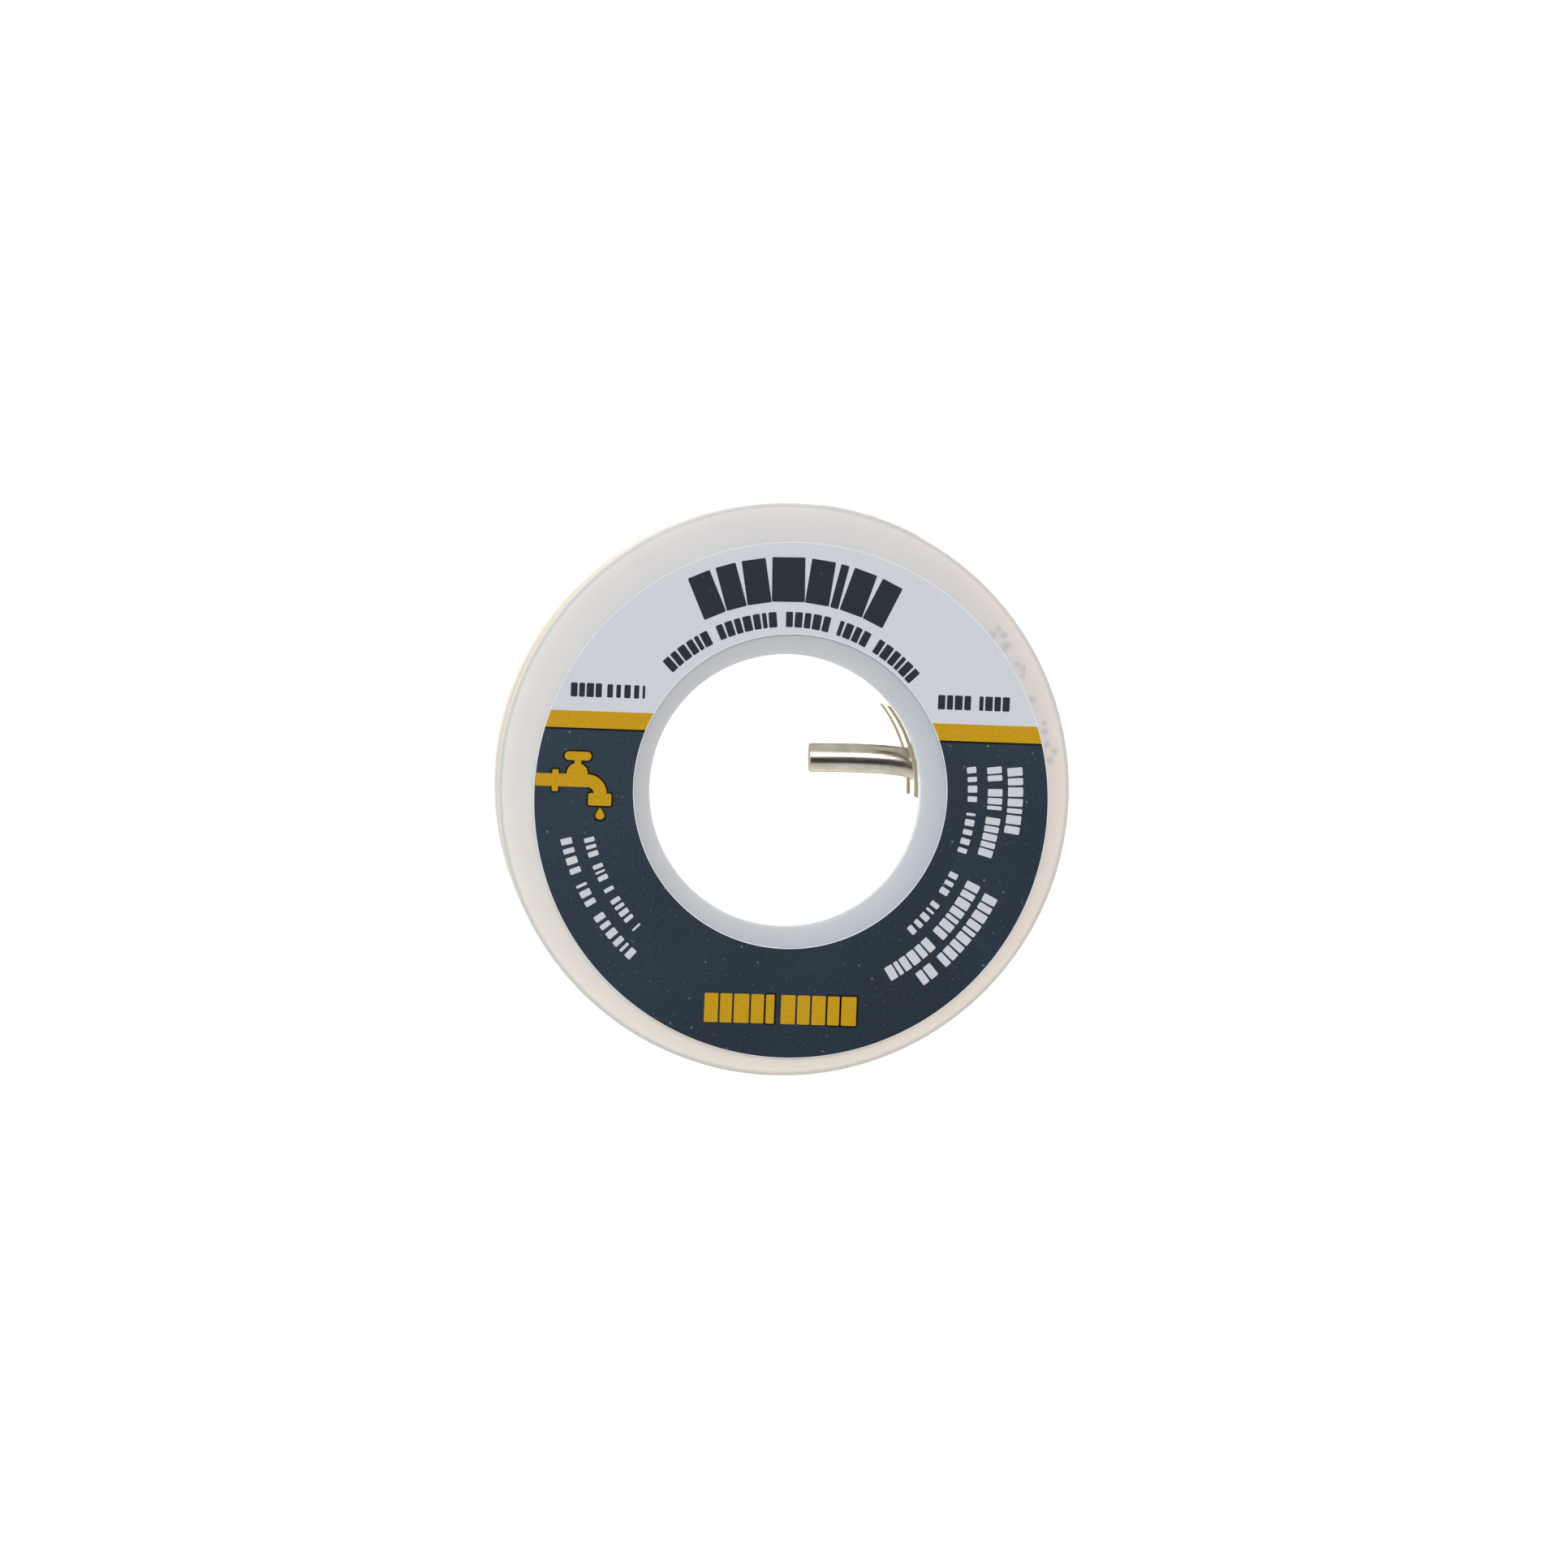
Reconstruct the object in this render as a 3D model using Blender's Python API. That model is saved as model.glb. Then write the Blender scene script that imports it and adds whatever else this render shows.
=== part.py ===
"""Solder wire spool: two moulded flanges on a hub, a printed label, the wound solder and its tape.

Frame: metres, +Z up. The spool lies on its rear flange with its axis along +Z through the origin,
so z = 0 is the face it rests on. The label faces +Z and reads upright with +Y up.
"""

from math import cos, pi, radians, sin, sqrt

import bmesh
import bpy
from mathutils import Vector

MM = 0.001

# Spool
FLANGE_RADIUS = 30.0 * MM
BORE_RADIUS = 14.2 * MM
SPOOL_WIDTH = 15.0 * MM
FLANGE_THICKNESS = 1.4 * MM
HUB_WALL = 1.2 * MM
LIP_THICKNESS = 0.8 * MM  # what is left of a flange where the hub's end sits in it
HUB_SEAT_GAP = 0.1 * MM
EDGE_CHAMFER = 0.2 * MM

# Slots in the hub: (distance behind the front face, width along the axis)
SLOT_ANGLES = (radians(-4.0), radians(37.5))
FRONT_SLOT = (1.9 * MM, 3.6 * MM)
REAR_SLOT = (9.3 * MM, 3.0 * MM)
START_HOLE_CLEARANCE = 0.1 * MM  # round the wire where it goes through the hub, between the slots

# Label
LABEL_RADIUS = 26.94 * MM
LABEL_CENTRE = (0.70 * MM, -1.12 * MM)
LABEL_HOLE_RADIUS = 16.5 * MM
LABEL_HOLE_CENTRE = (0.54 * MM, -0.14 * MM)
LABEL_THICKNESS = 0.1 * MM
LABEL_GAP = 0.05 * MM

# Solder: its end lies across the bore, half way between the faces, and bends round on to the hub
WIRE_DIAMETER = 3.0 * MM
WINDING_CLEARANCE = 0.05 * MM
FIRST_LAYER_TURNS = 4
SECOND_LAYER_TURNS = 3
TAIL_ROUTE = (
    (3.22 * MM, 3.09 * MM),
    (5.6 * MM, 3.06 * MM),
    (8.4 * MM, 2.99 * MM),
    (11.2 * MM, 2.83 * MM),
)
TAIL_BEND_RADIUS = 4.0 * MM
TAIL_BEND_PLACE = radians(-6.25)  # where round the hub the bend ends and the first turn begins
TAIL_BEND_START = radians(8.0)  # the wire's slope where its bend begins
TAIL_SHOWN_TO = radians(19.0)  # and where it comes too near the winding's ring to be shown
WIRE_SIDES = 12

# Tape over both rims
TAPE_ANGLES = (radians(62.0), radians(83.0))
TAPE_RADII = (30.1 * MM, 30.4 * MM)
TAPE_MARGIN = 0.1 * MM

STEPS = 96
SLOT_STEPS = 12
TAPE_STEPS = 8
BEND_STEPS = 10
SHARP_ANGLE = radians(30.0)
REAR_FACE = 0.0
FRONT_FACE = REAR_FACE + SPOOL_WIDTH
MIDDLE = (REAR_FACE + FRONT_FACE) / 2
HUB_RADIUS = BORE_RADIUS + HUB_WALL
FIRST_LAYER_RADIUS = HUB_RADIUS + WINDING_CLEARANCE
FIRST_LAYER_OUTER = FIRST_LAYER_RADIUS + WIRE_DIAMETER


def clear_scene():
    """Removes what a new file starts with."""
    for thing in list(bpy.data.objects):
        bpy.data.objects.remove(thing, do_unlink=True)


def material(name, colour, roughness, metallic=0.0):
    """A Principled material of one linear colour."""
    made = bpy.data.materials.new(name)
    made.use_nodes = True
    shader = made.node_tree.nodes["Principled BSDF"]
    shader.inputs["Base Color"].default_value = (*colour, 1.0)
    shader.inputs["Roughness"].default_value = roughness
    shader.inputs["Metallic"].default_value = metallic
    made.diffuse_color = (*colour, 1.0)
    return made


def object_from(name, shape, finish=None):
    """Writes a bmesh, its faces turned outwards, to a named object, shaded smooth with sharp corners."""
    bmesh.ops.recalc_face_normals(shape, faces=shape.faces[:])
    mesh = bpy.data.meshes.new(name)
    shape.to_mesh(mesh)
    shape.free()
    mesh.shade_smooth()
    mesh.set_sharp_from_angle(angle=SHARP_ANGLE)
    made = bpy.data.objects.new(name, mesh)
    bpy.context.scene.collection.objects.link(made)
    if finish:
        made.data.materials.append(finish)
    return made


def turned(profile, start=0.0, angle=2.0 * pi, steps=STEPS):
    """The closed (radius, height) profile turned about Z: a ring, or a capped sector of one."""
    shape = bmesh.new()
    points = [shape.verts.new((r * cos(start), r * sin(start), z)) for r, z in profile]
    whole = abs(angle - 2.0 * pi) < 1e-6
    if whole:
        geometry = [shape.edges.new(pair) for pair in zip(points, points[1:] + points[:1])]
    else:
        geometry = [shape.faces.new(points)]
        geometry += list(shape.edges)
    bmesh.ops.spin(
        shape, geom=points + geometry, cent=(0, 0, 0), axis=(0, 0, 1),
        angle=angle, steps=steps, use_merge=whole, use_duplicate=False,
    )
    if whole:
        bmesh.ops.remove_doubles(shape, verts=shape.verts[:], dist=1e-7)
    return shape


def rectangle(inner, outer, low, high):
    """The profile of a plain ring."""
    return [(inner, low), (inner, high), (outer, high), (outer, low)]


def make_flange(name, face, inward, finish):
    """A flange with its outer face at height `face`; `inward` is -1 below the front, +1 above the rear."""
    seat_radius = HUB_RADIUS + HUB_SEAT_GAP
    depths = [
        (BORE_RADIUS + EDGE_CHAMFER, 0.0),
        (BORE_RADIUS, EDGE_CHAMFER),
        (BORE_RADIUS, LIP_THICKNESS),
        (seat_radius, LIP_THICKNESS),
        (seat_radius, FLANGE_THICKNESS),
        (FLANGE_RADIUS - EDGE_CHAMFER, FLANGE_THICKNESS),
        (FLANGE_RADIUS, FLANGE_THICKNESS - EDGE_CHAMFER),
        (FLANGE_RADIUS, EDGE_CHAMFER),
        (FLANGE_RADIUS - EDGE_CHAMFER, 0.0),
    ]
    profile = [(radius, face + inward * depth) for radius, depth in depths]
    return object_from(name, turned(profile), finish)


def slot_cutter(name, slot):
    """A hidden sector block that cuts one slot through the hub wall."""
    depth, width = slot
    top = FRONT_FACE - depth
    profile = rectangle(BORE_RADIUS - HUB_WALL, HUB_RADIUS + HUB_WALL, top - width, top)
    start, end = SLOT_ANGLES
    return hidden(object_from(name, turned(profile, start, end - start, steps=SLOT_STEPS)))


def hidden(cutter):
    """Marks a cutter as a tool that isn't part of the spool."""
    cutter.hide_render = True
    cutter.display_type = "WIRE"
    return cutter


def wire_along(name, route, diameter):
    """A round rod along a route seen from the front, half way between the faces."""
    curve = bpy.data.curves.new(name, "CURVE")
    curve.dimensions = "3D"
    curve.bevel_depth = diameter / 2
    curve.bevel_resolution = WIRE_SIDES // 4 - 1
    curve.use_fill_caps = True
    spline = curve.splines.new("POLY")
    spline.points.add(len(route) - 1)
    for place, point in zip(spline.points, route):
        place.co = (*point, MIDDLE, 1.0)
    made = bpy.data.objects.new(name, curve)
    bpy.context.scene.collection.objects.link(made)
    return made


def bend_points(first, last, steps):
    """Points on the wire's bend round on to the hub, between two of its slopes."""
    reach = FIRST_LAYER_OUTER - WIRE_DIAMETER / 2 - TAIL_BEND_RADIUS
    centre = reach * Vector((cos(TAIL_BEND_PLACE), sin(TAIL_BEND_PLACE)))
    slopes = [first + (last - first) * step / steps for step in range(steps + 1)]
    return [centre + TAIL_BEND_RADIUS * Vector((sin(slope), cos(slope))) for slope in slopes]


def start_hole_cutter():
    """A hidden rod, a little thicker than the wire, that cuts its slanting hole through the hub."""
    end = pi / 2 - TAIL_BEND_PLACE
    route = [Vector(TAIL_ROUTE[-1])] + bend_points(TAIL_BEND_START, end, BEND_STEPS)
    rod = wire_along("start_hole_rod", route, WIRE_DIAMETER + 2 * START_HOLE_CLEARANCE)
    mesh = bpy.data.meshes.new_from_object(rod)
    bpy.data.objects.remove(rod, do_unlink=True)
    shape = bmesh.new()
    shape.from_mesh(mesh)
    bmesh.ops.remove_doubles(shape, verts=shape.verts[:], dist=1e-7)
    return hidden(object_from("start_hole_cutter", shape))


def make_hub(finish):
    """The hub tube, its ends seated in the flanges, with its two slots and the wire's hole between them."""
    seat = LIP_THICKNESS + HUB_SEAT_GAP
    profile = rectangle(BORE_RADIUS, HUB_RADIUS, REAR_FACE + seat, FRONT_FACE - seat)
    hub = object_from("hub_core", turned(profile), finish)
    cutters = (
        slot_cutter("front_slot_cutter", FRONT_SLOT),
        slot_cutter("rear_slot_cutter", REAR_SLOT),
        start_hole_cutter(),
    )
    for cutter in cutters:
        cut = hub.modifiers.new(cutter.name, "BOOLEAN")
        cut.operation = "DIFFERENCE"
        cut.solver = "EXACT"
        cut.object = cutter
    return hub


def make_label(finish):
    """A paper ring whose hole is off its own centre, as it was punched and stuck on by hand."""
    shape = bmesh.new()
    low = FRONT_FACE + LABEL_GAP
    rings = []
    for radius, centre in ((LABEL_RADIUS, LABEL_CENTRE), (LABEL_HOLE_RADIUS, LABEL_HOLE_CENTRE)):
        circle = bmesh.ops.create_circle(shape, segments=STEPS, radius=radius)["verts"]
        bmesh.ops.translate(shape, verts=circle, vec=(*centre, low))
        rings += {edge for vert in circle for edge in vert.link_edges}
    bmesh.ops.bridge_loops(shape, edges=rings)
    grown = bmesh.ops.extrude_face_region(shape, geom=shape.faces[:], use_keep_orig=True)
    top = [item for item in grown["geom"] if isinstance(item, bmesh.types.BMVert)]
    bmesh.ops.translate(shape, verts=top, vec=(0, 0, LABEL_THICKNESS))
    return object_from("front_label", shape, finish)


def make_layers(finish):
    """One turned ring for each layer of solder, the second nested in the valleys of the first."""
    nesting = WIRE_DIAMETER * sqrt(3) / 2
    layers = (
        ("solder_first_layer", FIRST_LAYER_RADIUS, FIRST_LAYER_OUTER, FIRST_LAYER_TURNS),
        ("solder_second_layer", FIRST_LAYER_OUTER + WINDING_CLEARANCE,
         FIRST_LAYER_OUTER + nesting + WINDING_CLEARANCE, SECOND_LAYER_TURNS),
    )
    for name, inner, outer, turns in layers:
        reach = turns * WIRE_DIAMETER / 2
        object_from(name, turned(rectangle(inner, outer, MIDDLE - reach, MIDDLE + reach)), finish)


def make_tail(finish):
    """The free end of the solder: along the bore from its cut end, then into the start of its bend."""
    route = [Vector(place) for place in TAIL_ROUTE] + bend_points(TAIL_BEND_START, TAIL_SHOWN_TO, 1)
    tail = wire_along("solder_tail", route, WIRE_DIAMETER)
    tail.data.materials.append(finish)
    return tail


def make_tape(finish):
    """A strip of clear tape lying over both rims, which keeps the winding from springing open."""
    start, end = TAPE_ANGLES
    profile = rectangle(*TAPE_RADII, REAR_FACE + TAPE_MARGIN, FRONT_FACE - TAPE_MARGIN)
    return object_from("holding_tape", turned(profile, start, end - start, steps=TAPE_STEPS), finish)


def main():
    """Builds the spool, the label, the solder and the tape."""
    clear_scene()
    plastic = material("natural_polypropylene", (0.76, 0.74, 0.71), 0.4)
    paper = material("printed_paper", (0.10, 0.12, 0.15), 0.5)
    solder = material("tin_solder", (0.58, 0.56, 0.50), 0.3, metallic=1.0)
    film = material("clear_film", (0.90, 0.90, 0.88), 0.2)
    make_flange("front_flange", FRONT_FACE, -1, plastic)
    make_flange("rear_flange", REAR_FACE, 1, plastic)
    make_hub(plastic)
    make_label(paper)
    make_layers(solder)
    make_tail(solder)
    make_tape(film)


main()
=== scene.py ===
"""A small spool of thick solder wire: moulded spool, printed ring label, wound wire and clear tape.

Metres, +Z up. The spool lies on its rear flange with its axis along Z, and its label faces up, upright with +Y.
"""

from __future__ import annotations

import logging
import math
from dataclasses import dataclass, field
from enum import Enum
from typing import Any, Iterable, Sequence

import bmesh
import bpy
from mathutils import Matrix, Vector

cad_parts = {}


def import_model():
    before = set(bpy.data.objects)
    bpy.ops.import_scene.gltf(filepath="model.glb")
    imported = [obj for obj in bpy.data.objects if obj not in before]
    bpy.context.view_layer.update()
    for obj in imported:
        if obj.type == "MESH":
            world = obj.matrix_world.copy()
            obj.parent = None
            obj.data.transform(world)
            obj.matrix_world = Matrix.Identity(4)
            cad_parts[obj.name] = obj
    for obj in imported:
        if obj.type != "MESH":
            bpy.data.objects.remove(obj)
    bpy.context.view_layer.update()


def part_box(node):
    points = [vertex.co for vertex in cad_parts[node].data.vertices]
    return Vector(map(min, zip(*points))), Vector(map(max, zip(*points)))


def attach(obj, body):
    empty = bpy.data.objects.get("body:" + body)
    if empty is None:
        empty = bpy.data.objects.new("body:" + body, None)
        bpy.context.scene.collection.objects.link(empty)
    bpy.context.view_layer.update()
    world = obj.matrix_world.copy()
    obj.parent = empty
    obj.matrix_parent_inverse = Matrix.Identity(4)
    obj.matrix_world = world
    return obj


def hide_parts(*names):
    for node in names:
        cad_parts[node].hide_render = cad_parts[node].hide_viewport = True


LOG = logging.getLogger("solder_spool")
MM = 0.001
PER_MM = 1.0 / MM
BODY = "root"


class Slot(str, Enum):
    """The record's material slots."""

    PLASTIC = "spool_plastic"
    PAPER = "label_paper"
    SOLDER = "solder"
    TAPE = "clear_tape"


def linear(hex_colour: str) -> tuple[float, float, float, float]:
    """Turns an sRGB hex colour into linear light.

    Args:
        hex_colour: Six hex digits, with or without a leading #.

    Returns:
        Linear red, green and blue, and an alpha of 1.
    """
    digits = hex_colour.lstrip("#")
    channels = [int(digits[at : at + 2], 16) / 255.0 for at in (0, 2, 4)]
    light = [c / 12.92 if c <= 0.04045 else ((c + 0.055) / 1.055) ** 2.4 for c in channels]
    return (light[0], light[1], light[2], 1.0)


def add_node(tree: bpy.types.NodeTree, kind: str, inputs: dict[Any, Any] | None = None, **settings: Any) -> Any:
    """Adds a node, sets it up and wires its inputs.

    Args:
        tree: The node tree it joins.
        kind: The node's type name.
        inputs: A value or another node's output socket for each named or numbered input.
        **settings: The node's own properties.

    Returns:
        The new node.
    """
    node = tree.nodes.new(kind)
    for name, value in settings.items():
        setattr(node, name, value)
    for name, value in (inputs or {}).items():
        if isinstance(value, bpy.types.NodeSocket):
            tree.links.new(value, node.inputs[name])
        else:
            node.inputs[name].default_value = value
    return node


def ranged(
    tree: bpy.types.NodeTree, value: Any, came_from: tuple[float, float] = (0.0, 1.0),
    goes_to: tuple[float, float] = (0.0, 1.0), **settings: Any,
) -> bpy.types.NodeSocket:
    """Maps a value from one range to another, and returns the result's socket."""
    inputs = {
        "Value": value, "From Min": came_from[0], "From Max": came_from[1],
        "To Min": goes_to[0], "To Max": goes_to[1],
    }
    return add_node(tree, "ShaderNodeMapRange", inputs, **settings).outputs[0]


def noise(
    tree: bpy.types.NodeTree, place: Any, scale: float, detail: float, **more: float
) -> bpy.types.NodeSocket:
    """Makes a noise texture at a place, and returns its socket."""
    inputs = {"Vector": place, "Scale": scale, "Detail": detail, **more}
    return add_node(tree, "ShaderNodeTexNoise", inputs).outputs[0]


def blended(tree: bpy.types.NodeTree, share: Any, first: Any, second: Any) -> bpy.types.NodeSocket:
    """Blends two colours, and returns the result's socket."""
    return add_node(tree, "ShaderNodeMix", {"Factor": share, 6: first, 7: second}, data_type="RGBA").outputs[2]


def scaled(tree: bpy.types.NodeTree, first: Any, second: Any) -> bpy.types.NodeSocket:
    """Multiplies two vectors or colours, and returns the result's socket."""
    return add_node(tree, "ShaderNodeVectorMath", {0: first, 1: second}, operation="MULTIPLY").outputs[0]


def reckoned(tree: bpy.types.NodeTree, operation: str, first: Any, second: Any) -> bpy.types.NodeSocket:
    """Joins two numbers by one operation, and returns the result's socket."""
    return add_node(tree, "ShaderNodeMath", {0: first, 1: second}, operation=operation).outputs[0]


def roughen(
    tree: bpy.types.NodeTree, shader: bpy.types.Node, height: bpy.types.NodeSocket, strength: float,
    depth_mm: float,
) -> None:
    """Gives a shader a fine bump."""
    bump = add_node(tree, "ShaderNodeBump", {"Height": height, "Strength": strength, "Distance": depth_mm * MM})
    tree.links.new(bump.outputs[0], shader.inputs["Normal"])


def fill_ramp(ramp: bpy.types.ColorRamp, stops: Sequence[tuple[float, str]]) -> None:
    """Gives a colour ramp its stops.

    Args:
        ramp: The ramp to fill.
        stops: Places from 0 to 1 with their hex colours, in order.
    """
    while len(ramp.elements) < len(stops):
        ramp.elements.new(0.5)
    for element, (place, colour) in zip(ramp.elements, stops):
        element.position = place
    for element, (place, colour) in zip(ramp.elements, stops):
        element.color = linear(colour)


# ---------------------------------------------------------------- finishes


@dataclass(frozen=True)
class Finish:
    """A surface finish that can make its own material."""

    name: str

    def material(self) -> bpy.types.Material:
        """Makes the material, or returns it if it is already there."""
        found = bpy.data.materials.get(self.name)
        if found:
            return found
        made = bpy.data.materials.new(self.name)
        made.use_nodes = True
        made.node_tree.nodes.clear()
        shader = add_node(made.node_tree, "ShaderNodeBsdfPrincipled")
        output = add_node(made.node_tree, "ShaderNodeOutputMaterial")
        made.node_tree.links.new(shader.outputs[0], output.inputs["Surface"])
        self.dress(made.node_tree, shader)
        return made

    def dress(self, tree: bpy.types.NodeTree, shader: bpy.types.Node) -> None:
        """Sets the shader and its textures.

        Args:
            tree: The material's nodes.
            shader: Its Principled shader.
        """
        raise NotImplementedError


@dataclass(frozen=True)
class NaturalPolypropylene(Finish):
    """Undyed polypropylene, injection moulded: milky and satin, with the light that comes through it and the
    shade of what lies behind it painted into its colour.

    The painted light and shade run with the radius: near white at the thin bore wall, a painted highlight of
    light coming in from the side; a cool grey painted shade where the winding is close behind and towards the
    label's edge; warm where only air is, a painted glow of light coming through; and a darker painted shade on
    the rounded rim. Moulding leaves faint clouds and fine scuffs.
    """

    # Colour by radius in mm, with light and shade painted in: a painted highlight at the bore's edge, painted
    # shade towards the label's edge and over the winding, a warm painted glow of light through the thin flange,
    # and a painted shade on the rounded rim.
    colour_and_painted_light: tuple[tuple[float, str], ...] = (
        (14.20, "#FBFBFA"),
        (14.30, "#E0E3E7"),
        (15.20, "#DDDFE4"),
        (16.60, "#D1D8DF"),
        (21.50, "#D1D8DF"),
        (24.50, "#F2EFED"),
        (28.20, "#F9F2ED"),
        (29.45, "#FFF7F2"),
        (29.72, "#E1E0DC"),
        (30.00, "#D8DAD5"),
    )
    satin: tuple[float, float] = (0.34, 0.50)
    # Whether a painted side light is multiplied into the colour.
    paints_side_light: bool = True
    see_through: float = 0.5
    reach_mm: float = 1.2
    cloud_size_mm: float = 7.0
    cloud_gain: tuple[float, float] = (0.965, 1.03)
    grain_size_mm: float = 0.25
    grain_gain: tuple[float, float] = (0.965, 1.035)
    smudges: tuple[tuple[float, float, float], ...] = (
        (27.3, 36.6, 0.55), (28.0, 36.9, 0.45), (28.1, 35.2, 0.50), (27.6, 32.7, 0.65),
        (27.7, 28.3, 0.40), (28.0, 26.9, 0.45), (27.7, 25.6, 0.35), (27.7, 19.9, 0.50),
        (28.1, 14.2, 0.35), (28.0, 12.5, 0.45), (28.0, 9.6, 0.40), (28.7, 8.0, 0.50), (28.1, 6.1, 0.50),
    )

    def dress(self, tree: bpy.types.NodeTree, shader: bpy.types.Node) -> None:
        """Sets the radial painted light and shade, the clouds, the satin grain and the batch smudges.

        Args:
            tree: The material's nodes.
            shader: Its Principled shader.
        """
        place = add_node(tree, "ShaderNodeTexCoord").outputs["Object"]
        flat = scaled(tree, place, (PER_MM, PER_MM, 0.0))
        radius = add_node(tree, "ShaderNodeVectorMath", {0: flat}, operation="LENGTH").outputs["Value"]
        inner, outer = self.colour_and_painted_light[0][0], self.colour_and_painted_light[-1][0]
        # This ramp paints the light and shade by radius.
        ramp = add_node(tree, "ShaderNodeValToRGB", {"Fac": ranged(tree, radius, (inner, outer))})
        fill_ramp(ramp.color_ramp, [((r - inner) / (outer - inner), colour) for r, colour in self.colour_and_painted_light])
        clouds = noise(tree, place, PER_MM / self.cloud_size_mm, 3.0, Roughness=0.6)
        grain = noise(tree, place, PER_MM / self.grain_size_mm, 2.0)
        shade = ranged(tree, clouds, goes_to=self.cloud_gain)
        speckle = ranged(tree, grain, goes_to=self.grain_gain)
        colour = scaled(tree, ramp.outputs[0], reckoned(tree, "MULTIPLY", shade, speckle))
        # Painted side light: the colour is made paler on one side and darker on the other, by where the light
        # falls.
        if self.paints_side_light:
            colour = self.painted_side_light(tree, flat, radius, colour)
        if self.smudges:
            colour = self.smudged(tree, flat, colour)
        tree.links.new(colour, shader.inputs["Base Color"])
        tree.links.new(ranged(tree, grain, goes_to=self.satin), shader.inputs["Roughness"])
        roughen(tree, shader, grain, 0.12, 0.02)
        shader.inputs["IOR"].default_value = 1.49
        shader.inputs["Subsurface Weight"].default_value = self.see_through
        shader.inputs["Subsurface Radius"].default_value = (1.0, 0.8, 0.6)
        shader.inputs["Subsurface Scale"].default_value = self.reach_mm * MM

    def painted_side_light(
        self, tree: bpy.types.NodeTree, flat: bpy.types.NodeSocket, radius: bpy.types.NodeSocket,
        colour: bpy.types.NodeSocket,
    ) -> bpy.types.NodeSocket:
        """Adds a painted side light, standing for light falling more on one side: paler to one side near the
        rim and to the other near the bore.

        Args:
            tree: The material's nodes.
            flat: The place on the spool in millimetres, without its height.
            radius: Its distance from the axis in millimetres.
            colour: The colour so far.

        Returns:
            The colour with the painted side light in it.
        """
        outside = ranged(tree, radius, (17.0, 24.0), interpolation_type="SMOOTHSTEP")
        way = add_node(
            tree, "ShaderNodeMix", {"Factor": outside, 4: (-2.0, -0.75, 0.0), 5: (1.0, 1.0, 0.0)},
            data_type="VECTOR",
        )
        split = add_node(tree, "ShaderNodeSeparateXYZ", {0: scaled(tree, flat, way.outputs[1])})
        rim = self.colour_and_painted_light[-1][0]
        # The painted side light's colours along each axis, pale on one side and darker on the other.
        for axis, low, high in (("X", "#FBFEFF", "#F8F6F4"), ("Y", "#FFFDF9", "#EAEDF1")):
            share = ranged(tree, split.outputs[axis], (-rim, rim))
            colour = scaled(tree, colour, blended(tree, share, linear(low), linear(high)))
        return colour

    def smudged(
        self, tree: bpy.types.NodeTree, flat: bpy.types.NodeSocket, colour: bpy.types.NodeSocket
    ) -> bpy.types.NodeSocket:
        """Adds the blurred bluish smudges left near the rim by ink that has soaked in.

        Args:
            tree: The material's nodes.
            flat: The place on the spool in millimetres, without its height.
            colour: The colour so far.

        Returns:
            The colour with the smudges in it.
        """
        ragged = reckoned(tree, "MULTIPLY", noise(tree, flat, 2.2, 2.0), 0.9)
        deepest = None
        for radius, turn, across in self.smudges:
            angle = math.radians(turn)
            spot = (radius * math.cos(angle), radius * math.sin(angle), 0.0)
            reach = add_node(tree, "ShaderNodeVectorMath", {0: flat, 1: spot}, operation="DISTANCE")
            depth = ranged(tree, reach.outputs["Value"], (0.0, 2.0 * across), (1.3, 0.0))
            deepest = depth if deepest is None else reckoned(tree, "MAXIMUM", deepest, depth)
        worn = reckoned(tree, "SUBTRACT", deepest, ragged)
        strength = ranged(tree, worn, (0.05, 0.7), (0.0, 0.38), interpolation_type="SMOOTHSTEP")
        return blended(tree, strength, colour, linear("#A3A9B8"))


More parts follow.
